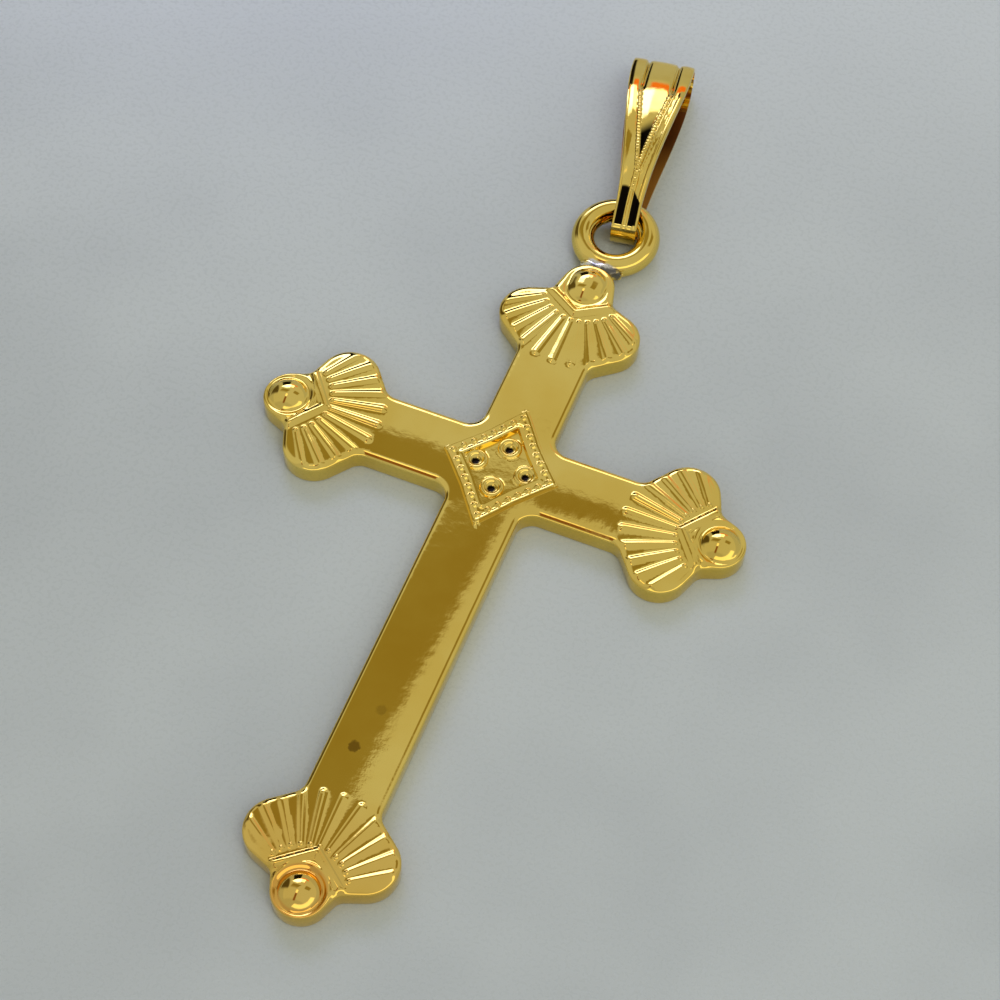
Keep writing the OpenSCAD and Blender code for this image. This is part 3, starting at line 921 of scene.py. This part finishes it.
class Shader:
    """The nodes of one material, or of the room."""

    def __init__(self, holder, output):
        self.holder = holder
        holder.use_nodes = True
        self.tree = holder.node_tree
        self.tree.nodes.clear()
        self.output = self.tree.nodes.new(output)

    def node(self, kind, settings, inputs, output=0):
        """Adds a node: its settings come first, then the values or links of its sockets. Gives the
        output of that name or number."""
        node = self.tree.nodes.new(kind)
        for name, value in settings.items():
            setattr(node, name, value)
        for name, value in inputs.items():
            if isinstance(value, Value):
                self.tree.links.new(value.socket, node.inputs[name])
            else:
                node.inputs[name].default_value = value
        return Value(self, node.outputs[output])

    def math(self, operation, *terms):
        """One Math node on values or numbers."""
        return self.node("ShaderNodeMath", {"operation": operation}, dict(enumerate(terms)))

    def place(self):
        """The place on the object, in its own metres."""
        return self.node("ShaderNodeTexCoord", {}, {}, "Object")

    def axes(self, way):
        """The x, y and z of a place or a direction."""
        apart = self.node("ShaderNodeSeparateXYZ", {}, {"Vector": way}).socket.node
        return [Value(self, output) for output in apart.outputs]

    def axes_mm(self, place):
        """The x, y and z of a place in millimetres."""
        return [axis * (1 / MM) for axis in self.axes(place)]

    def noise(self, place, size_mm, detail, roughness):
        """Soft noise from 0 to 1."""
        return self.node("ShaderNodeTexNoise", {}, {
            "Vector": place, "Scale": 1 / (size_mm * MM), "Detail": detail,
            "Roughness": roughness}, "Fac")

    def bump(self, height, depth_mm):
        """Normal from a height that goes from 0 to 1 over depth_mm."""
        return self.node("ShaderNodeBump", {}, {"Height": height, "Distance": depth_mm * MM})

    def show(self, finish):
        """Sends a surface or a light to the output."""
        self.tree.links.new(finish.socket, self.output.inputs["Surface"])

    def surface(self, **inputs):
        """The one shader of the material. Its sockets are given with _ for a space."""
        self.show(self.node("ShaderNodeBsdfPrincipled", {}, {
            name.replace("_", " "): value for name, value in inputs.items()}))
        return self.holder


def new_material(name):
    """The empty shader of a new material."""
    return Shader(bpy.data.materials.new(name), "ShaderNodeOutputMaterial")


def between(value, low, high, soft):
    """1 from low to high, 0 outside, with soft edges."""
    return value.smooth(low - soft, low + soft) * (1 - value.smooth(high - soft, high + soft))


def distance(*parts):
    """Distance from its parts along the axes."""
    return sum(part ** 2 for part in parts) ** 0.5


def spot(x, y, centre, radius, ragged):
    """1 inside a round spot on the face, 0 outside, with a ragged edge."""
    away = distance(x - centre[0], y - centre[1])
    return 1 - (away + ragged).smooth(radius * 0.6, radius)


# Gold of the cross and its solder

GOLD = (0.88, 0.66, 0.15, 1)
DEEP_GOLD = (0.83, 0.59, 0.11, 1)
# Warm orange: a painted warm reflection round the foot dome and in the bail's fold, and a faint
# tone on the foot end
WARM_ORANGE = (0.80, 0.40, 0.07, 1)
STAIN = (0.30, 0.19, 0.05, 1)
# Near black for painted dark reflections: in the medallion's cups and on parts of the bail's front
PAINTED_DARK_REFLECTION = (0.006, 0.004, 0.002, 1)
# Lit and shaded greys of the solder: the light one carries a painted highlight, the dark one
# painted shade
SOLDER = (0.86, 0.82, 0.68, 1)
SOLDER_PAINTED_SHADE = (0.16, 0.15, 0.12, 1)
GOLD_CLOUDS = 0.35, 0.7
POLISHED = 0.035
STAIN_AT, STAIN_R = (-0.6, -17.2), 0.36
FAINT_STAIN_AT, FAINT_STAIN_R = (-0.15, -14.95), 0.32
# Size of the painted dark reflection in each cup, and how far it lies towards the foot
CUP_DARK_R = 0.27
CUP_DARK_NEARER = 0.08
GRAINY_AT, GRAINY_R = (0.8, -18.6), 4.2


def foot_tint(x, y, z):
    """How warm orange the gold is: faint on the foot end, strong as a painted warm reflection round
    its dome.
    """
    from_dome = distance(x, y + FOOT_REACH)
    # the ring round the foot dome gets a painted warm reflection
    rim = between(from_dome, DOME_R, RIM_R - 0.04, 0.06) * z.smooth(1.0, 1.15)
    return (1 - y.smooth(-22.5, -18.5)) * 0.25 + rim * 0.55


def foot_stains(x, y, ragged):
    """The stain on the foot arm and a fainter one above it."""
    return (spot(x, y, STAIN_AT, STAIN_R, ragged) * 0.8
            + spot(x, y, FAINT_STAIN_AT, FAINT_STAIN_R, ragged) * 0.3)


def cup_dark_reflection(x, y, ragged):
    """Painted dark reflection in the four cups, slightly towards the foot in each."""
    low_y = y + CUP_DARK_NEARER
    return (spot(x.absolute(), low_y, CUPS[0], CUP_DARK_R, ragged)
            + spot(x, low_y.absolute(), CUPS[1], CUP_DARK_R, ragged))


def cast_gold():
    """Polished cast gold: slight orange peel, cloudy tone, warm orange and stains at the foot with
    a painted warm reflection round its dome, a painted dark reflection in the cups, grey solder
    with painted light."""
    shader = new_material("polished_cast_gold")
    place = shader.place()
    x, y, z = shader.axes_mm(place)
    peel = shader.noise(place, 1.1, 2.0, 0.45)
    ripple = shader.noise(place, 0.38, 2.0, 0.5)
    fine = shader.noise(place, 0.16, 3.0, 0.6)
    clouds = shader.noise(place, 3.5, 3.0, 0.5)
    grain = shader.noise(place, 0.45, 3.0, 0.5)
    ragged = (fine - 0.5) * 0.3
    gold = clouds.smooth(*GOLD_CLOUDS).blend(GOLD, DEEP_GOLD)
    # faint orange on the foot end, and a painted warm reflection round its dome
    gold = foot_tint(x, y, z).blend(gold, WARM_ORANGE)
    gold = foot_stains(x, y, ragged).blend(gold, STAIN)
    # painted dark reflection in the medallion's cups
    gold = cup_dark_reflection(x, y, ragged * 0.4).blend(gold, PAINTED_DARK_REFLECTION)
    off_x = (x - RING_X) / GREY_HALF[0]
    off_y = (y - (TOP_END_Y + GREY_PAST_END)) / GREY_HALF[1]
    off_z = (z - GREY_Z) / GREY_HALF[2]
    soldered = 1 - (distance(off_x, off_y, off_z) + (grain - 0.5) * 0.7).smooth(0.8, 1.0)
    # Random grain, plus a painted highlight towards the far left and painted shade towards the near
    # right
    bright = (grain - 0.5) * 1.2 + off_y * 0.35 - off_x * 0.4 + 0.5
    grey = bright.smooth(0.3, 0.7).blend(SOLDER_PAINTED_SHADE, SOLDER)
    rough = POLISHED + fine * 0.04 + soldered * 0.2
    grainy = (spot(x, y, GRAINY_AT, GRAINY_R, ripple * 1.5)
              * x.smooth(-0.3, 0.4) * y.smooth(-20.6, -20.0))
    height = peel + ripple * 0.42 + fine * (0.05 + grainy * 0.3)
    return shader.surface(Base_Color=soldered.blend(gold, grey), Metallic=1.0, Roughness=rough,
                          Normal=shader.bump(height, 0.006))


# Gold of the bail

# Painted brown shade deep in the bail's fold
FOLD_PAINTED_SHADE = (0.22, 0.085, 0.02, 1)
BLACK_TOP = 0.3, 0.45
BLACK_SPINE = 0.12, 0.18
BLACK_SIDE = 0.55, 0.6
BLACK_LIP = -1.62, -1.55
BLACK_V_TOP = 3.8, 4.9
BLACK_V_EDGE = 0.1, 0.16
FRONT_Z = 1.3, 1.5
INSIDE_Z = 0.16, 0.9
INSIDE_ALONG = -0.5, 8.6


def bail_black(side, along, ragged):
    """1 where the front is painted nearly black as a painted dark reflection: in the two panels at
    the foot, up to a line that curves down to the right, and in the point of the V, up to a slant."""
    curved = along + side * 0.7 + side * side * 0.9 + ragged
    panels = ((1 - curved.smooth(*BLACK_TOP)) * side.absolute().smooth(*BLACK_SPINE)
              * (1 - side.absolute().smooth(*BLACK_SIDE)) * along.smooth(*BLACK_LIP))
    open_half = (along - V_POINT[1]) * (V_TOP[0] / (V_TOP[1] - V_POINT[1]))
    in_v = (open_half - side.absolute()).smooth(*BLACK_V_EDGE)
    return panels + in_v * (1 - (along + ragged * 2 - side).smooth(*BLACK_V_TOP))


def bail_gold():
    """Gold of the folded bail: bright outside, painted nearly black in parts of its front as a
    painted dark reflection, and inside the fold a painted warm reflection turning into painted
    brown shade."""
    shader = new_material("polished_bail_gold")
    place = shader.place()
    x, y, z = shader.axes_mm(place)
    side = (x - BAIL_X) * BAIL_COS + (y - HINGE.y) * BAIL_SIN
    along = (y - HINGE.y) * BAIL_COS - (x - BAIL_X) * BAIL_SIN
    peel = shader.noise(place, 0.7, 2.0, 0.5)
    fine = shader.noise(place, 0.12, 3.0, 0.6)
    clouds = shader.noise(place, 2.0, 2.0, 0.5)
    ragged = (clouds - 0.5) * 0.5
    colour = clouds.smooth(*GOLD_CLOUDS).blend(GOLD, DEEP_GOLD)
    # painted dark reflection on parts of the front
    black = bail_black(side, along, ragged) * z.smooth(*FRONT_Z)
    colour = black.blend(colour, PAINTED_DARK_REFLECTION)
    inside = between(z, *INSIDE_Z, 0.06) * between(along, *INSIDE_ALONG, 0.2)
    # Inside the fold: a painted warm reflection near the foot that turns into painted brown shade
    # further along
    within = (along + ragged * 4).smooth(3.0, 6.5).blend(WARM_ORANGE, FOLD_PAINTED_SHADE)
    rough = POLISHED + fine * 0.04 + inside * 0.3
    return shader.surface(Base_Color=inside.blend(colour, within), Metallic=1.0, Roughness=rough,
                          Normal=shader.bump(peel + fine * 0.1, 0.004))


# The object

cross = cross_plate()
join_solid(cross, ring_piece(), solder_piece())
smooth_but_edges(cross, sharp_deg=62)
cross.data.materials.clear()  # the joining leaves a slot without a material
cross.data.materials.append(cast_gold())
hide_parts("cross")
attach(cross, "cross_body")

bail = bail_piece()
smooth_but_edges(bail, sharp_deg=45)
bail.data.materials.append(bail_gold())
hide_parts("bail")
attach(bail, "bail_body")


# The table

TABLE = (0.44, 0.485, 0.45, 1)
TABLE_PALE = (0.50, 0.55, 0.505, 1)
# Painted light: the colour the table turns to towards its far side
TABLE_FAR_PAINTED_LIGHT = (0.56, 0.62, 0.59, 1)
TABLE_HALF = 2000.0
TABLE_FADE = 5.0, 60.0


def table_top():
    """Pale grey table with a soft gloss, painted lighter at its far side as painted light."""
    shader = new_material("pale_table")
    place = shader.place()
    clouds = shader.noise(place, 18.0, 3.0, 0.5)
    fine = shader.noise(place, 0.25, 2.0, 0.6)
    colour = clouds.smooth(0.3, 0.7).blend(TABLE, TABLE_PALE)
    # painted light: lighter towards the far side
    colour = shader.axes_mm(place)[1].smooth(*TABLE_FADE).blend(colour, TABLE_FAR_PAINTED_LIGHT)
    return shader.surface(Base_Color=colour, Roughness=0.22 + fine * 0.12,
                          Normal=shader.bump(fine, 0.004))


def table_piece():
    """The flat top of the table, under the object."""
    corners = [(i * TABLE_HALF, j * TABLE_HALF, 0) for i, j in ((-1, -1), (1, -1), (1, 1), (-1, 1))]
    table = new_object("table", corners, [(0, 1, 2, 3)])
    table.data.materials.append(table_top())


# The room, the light and the camera

WALL = (0.60, 0.60, 0.61, 1)
NEAR_WALL = (0.50, 0.50, 0.51, 1)
LOW_WALL = (0.50, 0.51, 0.54, 1)
SHADED_CORNER = (0.31, 0.25, 0.09, 1)
SHADED_LEFT = (0.10, 0.08, 0.04, 1)
DARK_SHELF = (0.01, 0.008, 0.006, 1)
DARK_CLOTH = (0.26, 0.11, 0.03, 1)
WINDOW_LIGHT = (3.2, 3.4, 6.2, 1)
WINDOW_EDGE_LIGHT = (2.4, 2.3, 2.9, 1)
STRIP_LIGHT = (1.7, 1.45, 1.2, 1)
WARM_LIGHT = (1.0, 0.24, 0.03, 1)
DESK_LIGHT = (1.5, 1.4, 1.2, 1)

# Things in the room, by the direction of length 1 in which they lie, as low, high and softness:
# side is +X, to the right, far is +Y, away from the camera, and up is +Z
RIGHT_CORNER = {"side": (0.18, 0.5, 0.03), "far": (0.38, 0.6, 0.03)}
LEFT_CORNER = {"up": (0.05, 0.6, 0.04)}
DESK = {"up": (0.42, 0.66, 0.04)}
CLOTH = {"far": (-0.6, -0.1, 0.05), "side": (-0.27, -0.12, 0.03)}
STRIP = {"far": (-0.08, 0.14, 0.03), "side": (-0.27, -0.14, 0.03)}
SHELF = {"up": (0.03, 0.45, 0.02), "side": (-0.64, -0.32, 0.02)}
GLOW = {"up": (0.38, 0.47, 0.015), "side": (-0.27, 0.12, 0.02)}
LAMP_GLOW = {"up": (0.6, 0.78, 0.03), "side": (0.01, 0.05, 0.02)}
WINDOW = {"up": (0.46, 0.71, 0.02), "side": (-0.92, -0.03, 0.02)}


def part_of_room(way, ranges):
    """1 in the directions within the ranges, 0 outside."""
    inside = 1
    for axis, (low, high, soft) in ranges.items():
        inside = inside * between(way[axis], low, high, soft)
    return inside


def past_slant(way, side, far, slope, soft):
    """0 to 1 across a slanted line through (side, far), 1 on its far side."""
    off = way["far"] - far - (way["side"] - side) * slope
    return off.smooth(-soft, soft)


def room():
    """The studio round the object: a pale room with shaded corners, a wide window over a dark
    shelf on the far left, a warm glow under it, a light strip overhead with a dark cloth on its
    near side, and a soft light on the near right."""
    shader = Shader(bpy.data.worlds.new("studio"), "ShaderNodeOutputWorld")
    bpy.context.scene.world = shader.holder
    side, far, up = shader.axes(shader.node("ShaderNodeTexCoord", {}, {}, "Generated"))
    way = {"side": side, "far": far, "up": up}
    beyond = far.smooth(0.0, 0.2)
    high = up.smooth(0.4, 0.5)
    wall = up.smooth(0.32, 0.38).blend(LOW_WALL, WALL)
    wall = far.smooth(-0.6, -0.45).blend(NEAR_WALL, wall)
    below_slant = 1 - past_slant(way, -0.13, 0.509, slope=0.1, soft=0.012)
    left_of_slant = past_slant(way, -0.16, 0.412, slope=1.46, soft=0.02)
    shade = below_slant * left_of_slant * far.smooth(0.15, 0.35) * up.smooth(0.6, 0.7)
    wall = shade.blend(wall, SHADED_CORNER)
    wall = (part_of_room(way, RIGHT_CORNER) * high).blend(wall, SHADED_CORNER)
    near_right = (side - far).smooth(0.62, 0.72)
    wall = (part_of_room(way, DESK) * near_right).blend(wall, DESK_LIGHT)
    wall = (part_of_room(way, CLOTH) * high).blend(wall, DARK_CLOTH)
    wall = (part_of_room(way, STRIP) * high).blend(wall, STRIP_LIGHT)
    far_left = (1 - side.smooth(-0.82, -0.74)) * beyond
    wall = (part_of_room(way, LEFT_CORNER) * far_left).blend(wall, SHADED_LEFT)
    wall = (part_of_room(way, SHELF) * beyond).blend(wall, DARK_SHELF)
    glow = part_of_room(way, GLOW) + part_of_room(way, LAMP_GLOW) * 0.5
    wall = (glow * beyond).blend(wall, WARM_LIGHT)
    right_part = side.smooth(-0.24, -0.2)
    window = part_of_room(way, WINDOW) * (1 - right_part * up.smooth(0.66, 0.7))
    panes = right_part.blend(WINDOW_LIGHT, WINDOW_EDGE_LIGHT)
    wall = (window * far.smooth(0.54, 0.6)).blend(wall, panes)
    shader.show(shader.node("ShaderNodeBackground", {}, {"Color": wall}))


def ceiling_light():
    """Square soft light overhead, aimed at the cross and not seen in the metal itself."""
    place, side, watts = Vector((170, -120, 360)) * MM, 150 * MM, 0.28
    lamp = bpy.data.lights.new("ceiling_light", "AREA")
    lamp.shape = "RECTANGLE"
    lamp.size = lamp.size_y = side
    lamp.energy = watts
    lamp.color = (1.0, 0.98, 0.95)
    holder = in_scene("ceiling_light", lamp)
    holder.location = place
    holder.rotation_mode = "QUATERNION"
    holder.rotation_quaternion = (-place).to_track_quat("-Z", "Y")
    holder.visible_glossy = False


def camera():
    """Camera at the photograph's place and angle."""
    place = Vector((22.34, -61.87, 103.6)) * MM
    right = Vector((0.9286, 0.3704, 0.0208))
    up = Vector((-0.3247, 0.7843, 0.5286))
    back = Vector((0.1795, -0.4976, 0.8486))
    lens = bpy.data.cameras.new("camera")
    lens.lens = 86.4
    lens.sensor_width = 36
    lens.clip_start, lens.clip_end = 5 * MM, 20000 * MM
    holder = in_scene("camera", lens)
    turned = Matrix((right, up, back)).transposed().to_4x4()
    holder.matrix_world = Matrix.Translation(place) @ turned
    bpy.context.scene.camera = holder


table_piece()
room()
ceiling_light()
camera()
bpy.context.scene.view_settings.view_transform = "Standard"
